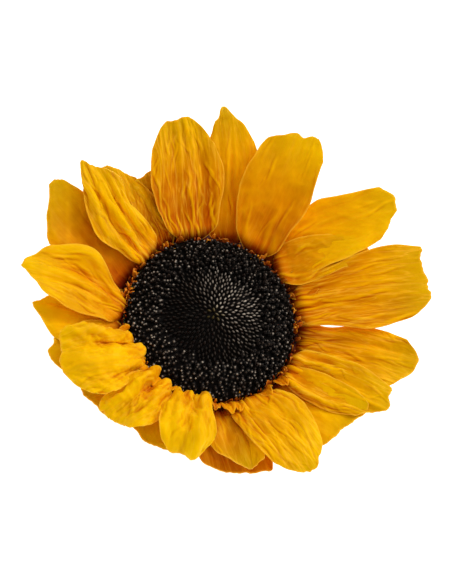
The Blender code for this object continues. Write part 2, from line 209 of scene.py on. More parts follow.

# The petals of the CAD model, some with a truer outline. Lengths are in mm, angles in degrees.
# azimuth, turn, bend: where the root is, how the petal turns away from there, and how it bends on its way.
# lift: its rise at root, middle and tip. left, right: half widths, evenly spaced from root to tip.
# reach: how far the edge of the tip comes, from right to left, in shares of the length.
# cup: how far each side curls up at root and tip. pleat, ruffle: height of pleats and of edge waves.
# folds: big creases, each (distance to the left at the root, at the tip, height, breadth).
# fine, broad: how many narrow and wide wrinkles, their height, and, for fine, how strong the hair-thin ones
# of the finish are, painted as highlight and shade lines. warmth: from 0, yellow, to 1, a darker orange, as
# one number or as one for the root and one for the tip; partly the petal's own tone, partly painted shade
# set
# petal by petal. crumple: height of dents.
Petal = namedtuple(
    "Petal",
    "layer azimuth turn bend length lift left right reach cup pleat ruffle folds fine broad warmth crumple",
    defaults=((30, 10), 0.35, 0.8, (), (20, 0.2, 0.5), (8, 0.4), 0.4, 0.3),
)
PETALS = (
    Petal(FRONT, 46, -8, -4, 46, (40, 20, 8), (6.5, 8.4, 12, 14, 14.2), (9, 11, 14.5, 13.2, 11.5),
          (0.86, 0.98, 0.98, 0.955, 1), fine=(46, 0.26, 0.6), broad=(12, 0.5), warmth=(0.6, 0.4)),
    Petal(FRONT, 69, -24, -6, 32, (38, 22, 10), (8, 9, 9, 7, 4), (3.5, 7, 6, 5, 3),
          (0.85, 0.95, 1, 0.95, 0.85), fine=(12, 0.14, 0.3), broad=(4, 0.4), warmth=0.65),
    Petal(BACK, 74, -18, -4, 48, (36, 22, 12), (7, 10.5, 13.2, 11, 10.2), (6, 8, 9, 8.2, 6),
          (0.8, 0.88, 0.97, 0.98, 0.94), pleat=0.1, fine=(8, 0.16, 0.1), broad=(4, 0.4),
          warmth=(0.1, 0.35)),
    Petal(FRONT, 92, 4, 2, 43.5, (44, 30, 18), (5, 10.6, 13.4, 13, 12), (8.5, 9, 10.6, 9.6, 9),
          (0.88, 1, 0.975, 0.93, 0.85), pleat=0.1, fine=(10, 0.16, 0.15), broad=(4, 0.4),
          warmth=(0.8, 0.35)),
    Petal(BACK, 108, 15, 10, 45.5, (40, 26, 18), (6, 9.5, 9.5, 6.5, 3), (6, 9, 10.5, 11, 12),
          (0.68, 0.87, 1, 0.93, 0.84), cup=(10, 4), ruffle=0.5, fine=(18, 0.2, 0.3), broad=(4, 0.4),
          warmth=(0.1, 0.8)),
    Petal(FRONT, 132, 2, -2, 40.5, (46, 28, 16), (6.5, 11.2, 13, 12.2, 10.5), (7.6, 10, 11.9, 11, 10),
          (0.79, 0.95, 1, 0.955, 0.79), fine=(56, 0.24, 0.5), broad=(12, 0.5), warmth=(1.0, 0.7)),
    Petal(BACK, 146, 0, 0, 29.5, (40, 28, 22), (8, 9, 10, 10, 8), (8, 9, 10, 10, 8),
          (1, 0.93, 0.87, 0.83, 0.8), fine=(24, 0.26, 0.5), warmth=0.85),
    Petal(BACK, 156, 4, -4, 33.5, (40, 28, 22), (7, 9, 10, 9, 6), (8, 8, 7, 5, 3),
          (0.76, 0.84, 0.93, 1, 1), fine=(28, 0.28, 0.5), warmth=0.8),
    Petal(FRONT, 168, 8, -24, 40, (50, 32, 18), (3.5, 6.8, 10.8, 7, 4.5), (8, 7.5, 6, 7.5, 6),
          (0.74, 0.87, 0.95, 1, 0.8), pleat=0.6, fine=(56, 0.3, 0.7), broad=(14, 0.6), warmth=(-0.1, 0.6),
          folds=((0, 2, 1.3, 1.2), (-4, -3, 1.1, 1.1), (4, 5, 0.9, 1.1))),
    Petal(BACK, 184, -14, 0, 41.5, (40, 26, 16), (7, 11, 15, 16.3, 11), (9, 10, 8.5, 5.8, 5),
          (0.85, 0.97, 1, 0.89, 0.7), pleat=0.1, fine=(6, 0.1, 0.1), broad=(3, 0.3), warmth=0.7,
          folds=((8, 13, 1.2, 3),)),
    Petal(FRONT, 209, -22, 24, 40, (48, 28, 14), (5, 8, 10, 9.5, 5), (4.5, 8, 12, 9.6, 6.5),
          (0.8, 0.93, 1, 0.91, 0.8), pleat=0.3, fine=(34, 0.26, 0.4), broad=(9, 0.5), warmth=(0.1, -0.1),
          folds=((-0.5, 0, 1.3, 1.5), (-5.5, -5, -2.4, 3.2), (2.8, 5, 0.8, 1.2))),
    Petal(BACK, 219, -10, -4, 33, (38, 24, 16), (8, 10, 11, 10.4, 6), (8, 7.5, 6, 4.5, 3),
          (0.86, 0.92, 1, 0.9, 0.77), fine=(6, 0.1, 0.1), broad=(3, 0.3), warmth=0.1),
    Petal(BACK, 229, 0, -2, 29.5, (40, 24, 8), (9, 11, 13, 12.5, 8), (8, 8.5, 8, 6, 4.5),
          (0.87, 0.93, 1, 0.96, 0.8), fine=(8, 0.1, 0.2), broad=(3, 0.3), warmth=0.3),
    Petal(FRONT, 240, -6, -4, 36.6, (89, 34, -16), (5, 6, 11, 13, 10), (6, 6, 7.8, 11, 11),
          (0.93, 0.95, 1, 0.96, 0.82), cup=(4, -14), ruffle=1.4, fine=(46, 0.28, 0.4),
          broad=(12, 0.6), warmth=0.0, crumple=1.1,
          folds=((1, 3, 0.9, 1.6), (-6, -9, 1.4, 1.3), (5.5, 8, -1.4, 2), (-3, -4, -1, 1.6))),
    Petal(BACK, 256, -8, -4, 24.5, (40, 20, 4), (8, 9, 10, 10, 8), (8, 9, 10, 10, 8),
          (1, 0.97, 0.93, 0.88, 0.8), fine=(6, 0.1, 0.2), warmth=0.4),
    Petal(FRONT, 264, -8, -6, 31.4, (84, 32, -36), (4.5, 5.5, 8.6, 9.2, 7), (4.5, 5.5, 7.4, 7.2, 6.5),
          (0.98, 1, 1, 0.93, 0.78), cup=(4, -20), ruffle=1.4, fine=(30, 0.28, 0.35),
          broad=(10, 0.6), warmth=(0.3, 0), crumple=1.0,
          folds=((-4, -3, 1.6, 1.3), (-0.5, 0, -2.2, 1.7), (3.5, 4.5, 1.4, 1.2))),
    Petal(FRONT, 285, 4, 4, 32.4, (92, 36, -50), (6.5, 6, 6.4, 8.2, 6.5), (5, 5.8, 9.6, 9.8, 8),
          (0.89, 0.97, 1, 0.98, 0.8), cup=(4, -12), ruffle=1.2, fine=(28, 0.26, 0.3),
          broad=(8, 0.5), warmth=-0.1, crumple=1.0,
          folds=((3.5, 2, 1.9, 1.4), (0, -1.5, -1.7, 1.8), (-4.5, -4.5, 1.4, 1.3))),
    Petal(UNDER, 303, 12, 4, 27, (30, 14, 4), (10, 11, 12, 12, 11), (10, 11, 12, 12, 9),
          (0.64, 0.8, 0.9, 0.96, 1), fine=(10, 0.12, 0.3), warmth=0.95),
    Petal(BACK, 310, 2, 2, 26, (46, 26, 4), (4, 5, 6, 6.5, 6), (4, 7, 10, 11, 10),
          (0.64, 0.84, 1, 0.95, 0.88), fine=(14, 0.2, 0.4), warmth=0.55),
    Petal(FRONT, 326, 4, 6, 35.5, (60, 26, -10), (6.5, 10.2, 10.4, 9.2, 6), (7.5, 10.5, 10.6, 10.2, 6.5),
          (0.84, 0.965, 1, 0.95, 0.8), cup=(12, 0), fine=(50, 0.28, 0.5), broad=(12, 0.6),
          warmth=(0.2, 0.4)),
    Petal(BACK, 344, 8, 6, 32.5, (38, 24, 8), (9, 11, 12, 12, 10), (9, 11, 12, 12, 10),
          (0.8, 0.845, 0.9, 0.97, 1), pleat=0.1, fine=(5, 0.1, 0.1), broad=(3, 0.3), warmth=(0.1, 0.5)),
    Petal(FRONT, 358, 3, 6, 36.5, (40, 20, 4), (7.5, 9.5, 10, 9, 7.5), (3.5, 8, 9, 7.5, 5.5),
          (0.78, 0.89, 1, 0.955, 0.98), fine=(50, 0.28, 0.6), broad=(12, 0.6), warmth=(0.45, 0.7)),
    Petal(BACK, 19, -4, -2, 41.5, (38, 18, 4), (9, 7, 9, 9.6, 9.6), (7, 9, 10, 10, 9),
          (0.8, 0.89, 0.975, 0.96, 0.87), fine=(46, 0.26, 0.6), broad=(12, 0.5), warmth=(0.35, 0.7)),
    Petal(BACK, 275, 0, 0, 19.5, (36, 14, 0), (10, 10.5, 10.5, 10, 8), (10, 10.5, 10.5, 10, 8),
          (0.85, 0.95, 1, 0.97, 0.9), fine=(5, 0.1, 0.2), warmth=0.5),
)


def flap(azimuth, turn, length, half, lift, warmth=1.0):
    """A short curled lobe at the rim of the disc."""
    widths = (0.75 * half, half, half, 0.9 * half, 0.6 * half)
    return Petal(
        FLAP, azimuth, turn, 0, length, lift, widths, widths, (0.7, 0.93, 1, 0.93, 0.7), cup=(50, 35),
        pleat=0.15, ruffle=0.5, fine=(6, 0.1, 0.4), broad=(3, 0.2), warmth=warmth, crumple=0.25,
    )


FLAPS = (
    flap(240, 10, 10, 3.4, (116, 70, -10), 0.1),
    flap(250, -8, 9.5, 2.8, (116, 74, -10), 0.3),
    flap(261.5, 4, 11, 4.2, (116, 70, -10), 0.25),
    flap(271, 10, 8.5, 2.4, (114, 80, 10), 0.5),
    flap(281, -6, 10, 3.2, (116, 72, -10), 0.1),
    flap(293.5, 6, 10, 3.2, (112, 64, -10), 0.1),
    flap(302, -14, 7, 2, (100, 70, 20)),
    flap(309, 8, 9, 2.4, (96, 60, 10), 0.3),
    flap(316, -10, 8, 2, (94, 60, 10), 0.4),
    flap(336, 12, 6.5, 2.6, (94, 66, 20), 0.8),
    flap(349, -16, 7.5, 2.4, (92, 60, 20), 0.8),
    flap(56, -10, 13, 5.5, (34, 26, 16)),
    flap(225, -12, 8, 3, (104, 70, 0), 0.8),
)

# Bracts, as in the CAD model: azimuth of the first, how many, where they are rooted, size and rise
BractRow = namedtuple("BractRow", "first count radius height length width lift")
BRACTS = (
    BractRow(20, 13, 25.5 * MM, 15.8 * MM, 18 * MM, 11 * MM, (22, 12, 2)),
    BractRow(7, 13, 21 * MM, 12.2 * MM, 18 * MM, 10 * MM, (10, 4, -6)),
)
BRACT_THICKNESS = 0.6 * MM
BRACT_GRID = (26, 17)

# Receptacle, as in the CAD model: radius and height up its side, rings and sides of its mesh, its ribs
RECEPTACLE_PROFILE = (
    (6.8, 0), (7.3, 1.5), (8.5, 5), (13.5, 8.5), (21, 11.8), (26.5, 15), (29.2, 18.2), (29.4, 20),
)
RECEPTACLE_RINGS = 40
RECEPTACLE_SIDES = 104
STEM_RIBS = 13

# Collar that the petals are rooted in: radius and height round its section, and where its waves begin
COLLAR_SECTION = (
    (28, 20.4), (30.6, 20.4), (33.4, 20.9), (33.4, 21.2),
    (30.8, 21.6), (30, 22.4), (29.2, 22.9), (28.2, 23.1),
)
COLLAR_SIDES = 180
COLLAR_WAVES_FROM = 21

# Scales at the rim: ranges of length and width in mm, and of how golden they are
Scales = namedtuple("Scales", "length width gold")
SCALES = {
    "red": Scales((2.2, 4.2), (0.7, 1.3), (0, 0.25)),
    "orange": Scales((3.2, 4.8), (1.8, 3.2), (0.1, 0.5)),
    "gold": Scales((3.4, 5.2), (0.7, 1.3), (0.75, 1)),
}

# How many scales stand all round, and the ranges of where in mm, of their rise at root, middle and tip and
# their turn in degrees, and of how hollow they are
RIM_SCALES = (("red", 130), ("orange", 44))
SCALE_RADII = (27.6, 28.6)
SCALE_HEIGHT = 22.6 * MM
SCALE_LIFTS = ((75, 110), (50, 130), (10, 160))
SCALE_TURNS = (-50, 50)
SCALE_CUPS = (-0.8, 0.8)
SCALE_THICKNESS = 0.16 * MM
SCALE_GRID = (9, 5)

# Gold crumbs at the rim: azimuth and spread of each cluster in degrees, and how many
CRUMBS = (
    (84, 4, 9), (43, 4, 7), (29, 4, 9), (353, 4, 6), (319, 4, 8), (298, 5, 12), (300, 3, 6),
    (195, 6, 12), (184, 5, 7), (247, 3, 4), (150, 5, 5), (118, 4, 4),
)


def colour(code):
    """The linear colour of a six-digit web colour."""
    parts = [int(code[i:i + 2], 16) / 255 for i in (0, 2, 4)]
    return [c / 12.92 if c <= 0.04045 else ((c + 0.055) / 1.055) ** 2.4 for c in parts] + [1]


class Finish:
    """A material and short ways to add nodes to it."""

    def __init__(self, name, roughness):
        self.material = bpy.data.materials.new(name)
        self.material.use_nodes = True
        self.tree = self.material.node_tree
        self.shader = self.tree.nodes["Principled BSDF"]
        self.set("Roughness", roughness)

    def set(self, socket, value):
        self.shader.inputs[socket].default_value = value

    def node(self, kind, inputs=None, **settings):
        made = self.tree.nodes.new("ShaderNode" + kind)
        for key, value in settings.items():
            setattr(made, key, value)
        for key, value in (inputs or {}).items():
            socket = made.inputs[key]
            if isinstance(value, bpy.types.NodeSocket):
                self.tree.links.new(value, socket)
            else:
                socket.default_value = value
        return made

    def use(self, socket, output):
        self.tree.links.new(output, self.shader.inputs[socket])

    def paint(self):
        """The four channels painted on the mesh."""
        painted = self.node("Attribute", attribute_name="paint")
        split = self.node("SeparateColor", {"Color": painted.outputs["Color"]})
        return *(split.outputs[name] for name in ("Red", "Green", "Blue")), painted.outputs["Alpha"]

    def ramp(self, value, *stops):
        made = self.node("ValToRGB", {"Fac": value})
        elements = made.color_ramp.elements
        while len(elements) < len(stops):
            elements.new(0.5)
        for element, (position, code) in zip(elements, stops):
            element.position = position
            element.color = colour(code)
        return made.outputs["Color"]

    def mix(self, factor, first, second, blend="MIX"):
        made = self.node("Mix", {"Factor": factor}, data_type="RGBA", blend_type=blend)
        for number, value in zip(MIX_INPUTS, (first, second)):
            socket = made.inputs[number]
            if isinstance(value, bpy.types.NodeSocket):
                self.tree.links.new(value, socket)
            else:
                socket.default_value = value
        return made.outputs[MIX_OUTPUT]

    def mask(self, value, start, end):
        """0 up to start, and 1 from end on."""
        return self.ramp(value, (start, "000000"), (end, "FFFFFF"))

    def maths(self, operation, first, second, clamp=False):
        made = self.node("Math", {0: first, 1: second}, operation=operation, use_clamp=clamp)
        return made.outputs["Value"]

    def times(self, first, second):
        return self.maths("MULTIPLY", first, second)

    def noise(self, scale, detail, vector=None, roughness=0.55, distortion=0.0):
        inputs = {"Scale": scale, "Detail": detail, "Roughness": roughness, "Distortion": distortion}
        if vector is not None:
            inputs["Vector"] = vector
        return self.node("TexNoise", inputs).outputs["Fac"]

    def ridges(self, vector, distortion):
        """Noise folded at its middle, so that it peaks along thin winding lines."""
        noise = self.noise(1.0, 1.5, vector, distortion=distortion)
        away = self.maths("ABSOLUTE", self.maths("SUBTRACT", noise, 0.5), 0.0)
        return self.maths("SUBTRACT", 1.0, self.times(away, 4.0), clamp=True)

    def bump(self, height, strength, distance):
        made = self.node("Bump", {"Height": height, "Strength": strength, "Distance": distance})
        self.use("Normal", made.outputs["Normal"])

    def place(self):
        return self.node("TexCoord").outputs["Object"]

    def stretched_uv(self, across, along):
        uv = self.node("UVMap", uv_map="blade").outputs["UV"]
        scaled = self.node("VectorMath", {0: uv, 1: (across, along, 1)}, operation="MULTIPLY")
        return scaled.outputs["Vector"]


def petal_finish():
    """paint: red is the height on the wrinkles, turned into painted highlights on the crests and painted
    shade in the valleys, green how strong the thinnest ones are, painted as highlight and shade lines, blue
    the warmth, partly painted shade, alpha the rim, a painted highlight."""
    finish = Finish("petal", 0.5)
    relief, thin, warmth, rim = finish.paint()
    uv = finish.node("UVMap", uv_map="blade").outputs["UV"]
    along = finish.node("SeparateXYZ", {"Vector": uv}).outputs["Y"]
    # Both runs darken to red-brown at the root: partly the petals' own colour, partly painted shade where
    # the roots lie between the petals and the disc. Under petals and flaps use only the root end of the
    # runs.
    yellow = finish.ramp(
        along, (0.0, "400800"), (0.06, "9A3400"), (0.1, "D87C00"), (0.16, "EE9E00"),
        (0.3, "F2AE00"), (0.55, "F0BA00"), (1.0, "E6BC00"),
    )
    orange = finish.ramp(
        along, (0.0, "280600"), (0.06, "7A2000"), (0.12, "C46000"), (0.55, "CE7800"), (1.0, "BC9200")
    )
    # Warmth leads to the darker orange run: partly the petals' own tone, partly painted shade.
    base = finish.mix(warmth, yellow, orange)
    # Painted shade in the valleys of the wrinkles and painted highlights on their crests, both from the
    # height in red.
    valley_shade = finish.mix(0.7, base, colour("D46C00"), "MULTIPLY")
    crest_highlight = finish.mix(finish.mask(along, 0.03, 0.11), base, finish.mix(0.6, base, colour("FAC400")))
    lower = finish.mix(finish.mask(relief, 0.1, 0.5), valley_shade, base)
    folded = finish.mix(finish.mask(relief, 0.5, 0.95), lower, crest_highlight)
    # Painted highlight along the edges of the petals and in an arch over the roots of steep ones.
    rim_highlighted = finish.mix(finish.times(rim, 0.75), folded, colour("FCC030"))
    # Hair-thin lines: painted highlights along thin crests and painted shade along thin hollows, as strong
    # as green says.
    line = finish.ridges(finish.stretched_uv(16, 2.4), 0.6)
    hollow = finish.ridges(finish.stretched_uv(11, 1.7), 0.5)
    dark = finish.times(finish.mask(hollow, 0.84, 1.0), finish.times(thin, 0.25))
    bright = finish.times(finish.mask(line, 0.8, 0.98), finish.times(thin, 0.7))
    lined = finish.mix(bright, finish.mix(dark, rim_highlighted, colour("B86400")), colour("FFC838"))
    blotch = finish.noise(110, 2, finish.place())
    light = finish.ramp(blotch, (0.38, "E8DCC0"), (0.6, "FFFFFF"))
    finish.use("Base Color", finish.mix(0.5, lined, light, "MULTIPLY"))
    finish.bump(finish.times(finish.maths("SUBTRACT", line, hollow), thin), 0.35, 0.3 * MM)
    finish.set("Specular IOR Level", 0.15)
    finish.set("Specular Tint", (1.0, 0.7, 0.05, 1))
    finish.set("Subsurface Weight", 0.4)
    finish.set("Subsurface Radius", (1.0, 0.8, 0.1))
    finish.set("Subsurface Scale", 0.5 * MM)
    return finish.material


def floret_finish():
    """paint: red runs from the dark foot to the pale tip, whose paleness is partly the floret's own colour
    and partly a painted glint, green differs from floret to floret, blue is how yellowish it is."""
    finish = Finish("floret", 0.45)
    height, chance, yellowish, _ = finish.paint()
    dark = finish.ramp(
        height, (0.0, "020202"), (0.25, "0A0705"), (0.5, "332D28"), (0.8, "807870"), (1.0, "B8B0A4")
    )
    browner = finish.mix(finish.times(chance, 0.35), dark, colour("1C0C06"))
    finish.use("Base Color", finish.mix(yellowish, browner, colour("807030")))
    finish.bump(finish.noise(2600, 3, finish.place()), 0.3, 0.15 * MM)
    finish.set("Specular IOR Level", 0.14)
    return finish.material


def bed_finish():
    finish = Finish("disc bed", 0.8)
    grain = finish.noise(900, 4, finish.place())
    finish.use("Base Color", finish.ramp(grain, (0.3, "010101"), (0.7, "0A0503")))
    finish.bump(grain, 0.6, 0.5 * MM)
    finish.set("Specular IOR Level", 0.1)
    return finish.material


def crumb_finish():
    """paint: red runs from root to tip, green differs from one to the next."""
    finish = Finish("rim scales", 0.55)
    along, chance, _, _ = finish.paint()
    # The red scales darken to near black at the root: partly their own colour, partly painted shade in the
    # gaps between the petal roots and the disc.
    red = finish.ramp(along, (0.0, "1A0502"), (0.45, "5C1402"), (0.8, "923002"), (1.0, "B85404"))
    gold = finish.ramp(along, (0.0, "5A1E02"), (0.35, "C05C04"), (0.7, "E88810"), (1.0, "FCB434"))
    finish.use("Base Color", finish.mix(chance, red, gold))
    finish.bump(finish.noise(1500, 4, finish.place()), 0.4, 0.2 * MM)
    finish.set("Specular IOR Level", 0.2)
    finish.set("Subsurface Weight", 0.15)
    finish.set("Subsurface Radius", (1.0, 0.4, 0.05))
    finish.set("Subsurface Scale", 0.6 * MM)
    return finish.material


def collar_finish():
    finish = Finish("collar", 0.7)
    grain = finish.noise(420, 4, finish.place())
    # Near black to dark red-brown: partly the ring's own colour, partly painted shade in the gaps between
    # the petal roots.
    finish.use("Base Color", finish.ramp(grain, (0.3, "180401"), (0.5, "3E1003"), (0.75, "7A2C04")))
    finish.bump(grain, 0.6, 0.5 * MM)
    finish.set("Specular IOR Level", 0.15)
    return finish.material


def bract_finish():
    """paint: red runs from root to point, green is the height of the veins, blue differs by bract."""
    finish = Finish("bract", 0.62)
    along, vein, chance, _ = finish.paint()
    green = finish.ramp(along, (0.0, "5E7A2C"), (0.45, "4A6A22"), (0.85, "3C5A1C"), (1.0, "6E6A2A"))
    drier = finish.mix(finish.times(chance, 0.4), green, colour("7C7C34"))
    veined = finish.mix(finish.times(vein, 0.55), drier, colour("9AB060"))
    fibre = finish.noise(1.0, 5, finish.stretched_uv(60, 6))
    finish.use("Base Color", finish.mix(finish.times(fibre, 0.35), veined, colour("2E441A")))
    finish.bump(fibre, 0.4, 0.35 * MM)
    finish.set("Sheen Weight", 0.25)
    return finish.material


def stem_finish():
    finish = Finish("receptacle", 0.65)
    place = finish.place()
    fibre = finish.noise(300, 5, place)
    broad = finish.noise(60, 2, place)
    green = finish.ramp(fibre, (0.3, "46602A"), (0.55, "62803A"), (0.75, "88A058"))
    finish.use("Base Color", finish.mix(finish.times(broad, 0.4), green, colour("8A9A5A")))
    finish.bump(fibre, 0.5, 0.5 * MM)
    finish.set("Sheen Weight", 0.3)
    return finish.material


def wander(kind, index, x, y):
    """Smooth noise of about -1 to 1, with features of about one unit: waves crossing at random."""
    draw = np.random.default_rng(SEEDS[kind] + index)
    total = 0 * (x + y)
    for _ in range(WAVES):
        angle, phase = draw.uniform(0, 2 * math.pi, 2)
        pace = draw.uniform(*WAVE_PACES)
        total = total + np.sin(pace * (x * math.cos(angle) + y * math.sin(angle)) + phase)
    return total * 1.5 / WAVES


def hump(x, breadth=1):
    """1 at x = 0, and almost 0 from twice the breadth on."""
    return np.exp(-((x / breadth) ** 2))


def fade(s, end):
    """Grows from 0 at the root to 1 at the share end of the length."""
    return np.clip(s / end, 0, 1)


def crease(noise, breadth):
    """Tent-shaped crests along the lines where smooth noise changes sign."""
    return np.clip(1 - np.abs(noise) / breadth, 0, 1)


def piece(name, vertices, faces, finish, node, paint=None, uv=None):
    """A smooth piece that rides on the head and stands for a CAD node."""
    mesh = bpy.data.meshes.new(name)
    mesh.from_pydata(np.asarray(vertices).tolist(), [], faces)
    if paint is not None:
        layer = mesh.attributes.new("paint", "FLOAT_COLOR", "POINT")
        filled = np.ones((len(vertices), 4), dtype=np.float32)
        filled[:, :paint.shape[1]] = paint
        layer.data.foreach_set("color", filled.ravel())
    if uv is not None:
        corners = np.empty(len(mesh.loops), dtype=np.int32)
        mesh.loops.foreach_get("vertex_index", corners)
        layer = mesh.uv_layers.new(name="blade")
        layer.data.foreach_set("uv", np.asarray(uv, dtype=np.float32)[corners].ravel())
    mesh.materials.append(finish)
    mesh.shade_smooth()
    made = bpy.data.objects.new(name, mesh)
    bpy.context.scene.collection.objects.link(made)
    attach(made, "root")
    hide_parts(node)


class Heap:
    """Many small shapes that make up one piece."""

    def __init__(self):
        self.vertices = []
        self.faces = []
        self.paint = []
        self.count = 0

    def add(self, vertices, faces, paint):
        self.faces += [tuple(corner + self.count for corner in face) for face in faces]
        self.vertices.append(vertices)
        self.paint.append(paint)
        self.count += len(vertices)

    def make(self, name, finish, node, slot):
        vertices = np.concatenate(self.vertices)
        piece(name, vertices, self.faces, finish, node, paint=np.concatenate(self.paint))


def polar(radius, angle, height):
    return (radius * math.cos(angle), radius * math.sin(angle), height)


def curve(values, t):
    """A smooth curve through evenly spaced values, read at the share t of its length."""
    known = [2 * values[0] - values[1], *values, 2 * values[-1] - values[-2]]
    known = np.array(known, dtype=float)
    place = np.clip(t, 0, 1) * (len(values) - 1)
    first = np.minimum(place.astype(int), len(values) - 2)
    x = place - first
    a, b, c, d = (known[first + step] for step in range(4))
    return b + x * (c - a + x * (2 * a - 5 * b + 4 * c - d + x * (3 * b - a - 3 * c + d))) / 2


def quadratic(values, s):
    """The curve that takes these three values at s = 0, 0.5 and 1."""
    start, middle, end = values
    return start * (1 - s) * (1 - 2 * s) + 4 * middle * s * (1 - s) + end * s * (2 * s - 1)


def bent_sheet(start, heading, bend, length, lift, s, across, rise):
    """A surface carried along a bent line: s along it, across to its left, rise square to both."""
    known = np.linspace(0, 1, SPINE_STEPS + 1)
    pitch = np.radians(quadratic(lift, known))
    turned = np.radians(heading + bend * known)
    level = np.cos(pitch)
    along = np.stack([level * np.cos(turned), level * np.sin(turned), np.sin(pitch)], 1)
    left = np.stack([-np.sin(turned), np.cos(turned), 0 * known], 1)
    up = np.cross(along, left)
    moves = (along[1:] + along[:-1]) / 2 * length / SPINE_STEPS
    middle = np.array(start) + np.concatenate([np.zeros((1, 3)), np.cumsum(moves, 0)])

    def read(values):
        return np.stack([np.interp(s, known, values[:, axis]) for axis in range(3)], -1)

    return read(middle) + read(left) * across[..., None] + read(up) * rise[..., None]


def normals(sheet):
    normal = np.cross(np.gradient(sheet, axis=0), np.gradient(sheet, axis=1))
    return normal / np.maximum(np.linalg.norm(normal, axis=2, keepdims=True), 1e-12)


def blade(sheet, thickness):
    """Vertices and faces of a closed blade round a middle surface."""
    rows, columns, _ = sheet.shape
    count = rows * columns
    offset = normals(sheet) * (thickness / 2)[..., None]
    vertices = np.concatenate([(sheet + offset).reshape(-1, 3), (sheet - offset).reshape(-1, 3)])
    index = np.arange(count).reshape(rows, columns)
    corners = [index[:-1, :-1], index[1:, :-1], index[1:, 1:], index[:-1, 1:]]
    top = np.stack([corner.ravel() for corner in corners], 1)
    bottom = top[:, ::-1] + count
    border = np.concatenate([index[0, :-1], index[:-1, -1], index[-1, :0:-1], index[:0:-1, 0]])
    after = np.roll(border, -1)
    edge = np.stack([border, after, after + count, border + count], 1)
    return vertices, np.concatenate([top, bottom, edge]).tolist()


def wrinkles(draw, s, across, left, right, count, length, breadth, shaded):
    """Height, in shares, of tapered crests that run along a petal for a part of its length, each with a
    crease on its shaded side: 1 for the left, -1 for the right."""
    total = 0 * s
    for _ in range(count):
        middle = draw.uniform(*WRINKLE_MIDDLES)
        t = (s - middle) / (length * draw.uniform(*WRINKLE_LENGTHS))
        place = draw.uniform(*WRINKLE_PLACES)
        lean, bow, sway = draw.normal(0, WRINKLE_STRAY, 3)
        line = place * (left if place > 0 else right) + lean * t + bow * t**2 + sway * np.sin(3 * t)
        size = draw.uniform(*WRINKLE_HEIGHTS) * (1.15 - 0.6 * middle)
        off = (across - line) / (breadth * draw.uniform(*WRINKLE_BREADTHS))
        profile = hump(off) - CREASE_DEPTH * hump(off - CREASE_OFF * shaded)
        total += size * profile * np.clip(1 - t**2, 0, 1)
    return total


def petal_outline(one, index, u, v):
    """How far each line of the grid reaches, the share s of the way along at each point, the half widths to
    the left and right there, and the uneven one on the point's own side."""
    reach = curve(one.reach, (v + 1) / 2)
    lobes = 0.015 * wander("broad lobes", index, v * BROAD_PACE, 0 * v)
    lobes += 0.005 * wander("small lobes", index, v * SMALL_PACE, 0 * v)
    corner = (u * np.abs(v)) ** CORNER_POWER
    s = np.clip(u * reach * (1 + lobes * u**6) * (1 - CORNER_BACK * corner), 0, 1)
    left, right = curve(one.left, s) * MM, curve(one.right, s) * MM
    half = np.where(v < 0, right, left) * (1 - CORNER_IN * corner)
    half = half * (1 - ROOT_PINCH[one.layer] * (1 - fade(s, ROOT_PINCH_END)) ** 2)
    side = np.sign(v) * SIDES_APART
    ripple = 0.035 * wander("broad ripple", index, s * BROAD_PACE, side)
    ripple += 0.012 * wander("small ripple", index, s * SMALL_PACE, side)
    return reach, s, left, right, half * (1 + ripple * np.abs(v))


def petal_form(one, index, s, v, half):
    """How far each point lies to the left of the middle line and above it, and how deep in a bowl."""
    cup = np.radians(one.cup[0] + (one.cup[1] - one.cup[0]) * s) + NOT_ZERO
    across = half * np.sin(cup * v) / cup
    rise = half * (1 - np.cos(cup * v)) / cup
    phase = PHASE_STEP * index
    swell = np.sin(np.pi * s) ** SWELL_POWER
    rise += one.pleat * MM * swell * np.cos(PLEATS * np.pi * v + PLEAT_SWAY * np.sin(2 * s + phase))
    wave = np.sin(2 * np.pi * EDGE_WAVES * s + phase + SIDE_SHIFT * np.sign(v))
    rise += one.ruffle * MM * s * v**2 * wave
    bowl = 0 * s
    for root, tip, height, breadth in one.folds:
        off = (across / MM - root - (tip - root) * s) / breadth
        rise += height * MM * hump(off) * swell
        bowl += max(-height, 0) * hump(off) * swell
    if one.layer == FRONT and one.lift[0] > STEEP:
        height, at = STEEP_ROOT_BULGE
        scallops = np.cos(SCALLOPS * np.pi * v + phase)
        swollen = (0.9 + 0.6 * scallops) * (1 - v**4)
        rise += height * swollen * hump(s - at, at)
        bowl += np.clip(-scallops, 0, 1) * hump(s - at, at)
    elif one.layer == FRONT:
        height, at = ROOT_BULGE
        rise += height * (1 - v**2) * hump(s - at, at)
    return across, rise, bowl


def petal_sheet(one, s, across, rise):
    """The middle surface of a petal, kept clear of the disc."""
    start = polar(ROOT_RADIUS, math.radians(one.azimuth), ROOT_HEIGHTS[one.layer])
    heading = one.azimuth + one.turn
    sheet = bent_sheet(start, heading, one.bend, one.length * MM, one.lift, s, across, rise)
    radius = np.hypot(sheet[..., 0], sheet[..., 1])
    limit = np.interp(sheet[..., 2], OVER_DISC_HEIGHTS, (INNER_LIMIT, OVER_DISC_LIMIT))
    sheet[..., :2] *= np.maximum(1, limit / radius)[..., None]
    return sheet


def petal_dents(index, x, y):
    """Smooth dents and sharp creases as in crumpled cloth, for places in centimetres."""
    dents = 0.5 * wander("broad dents", index, x * 1.3, y * 1.6)
    dents += 0.25 * wander("small dents", index, x * 3, y * 3.4)
    creases = 0.55 * crease(wander("broad creases", index, x * 1.5 + y, y * 1.8), 0.5)
    creases += 0.3 * crease(wander("small creases", index, x * 3 + y, y * 3.6 - x), 0.5)
    creases += 0.15 * crease(wander("cracks", index, x * 5.5, y * 7), 0.6)
    return dents, creases


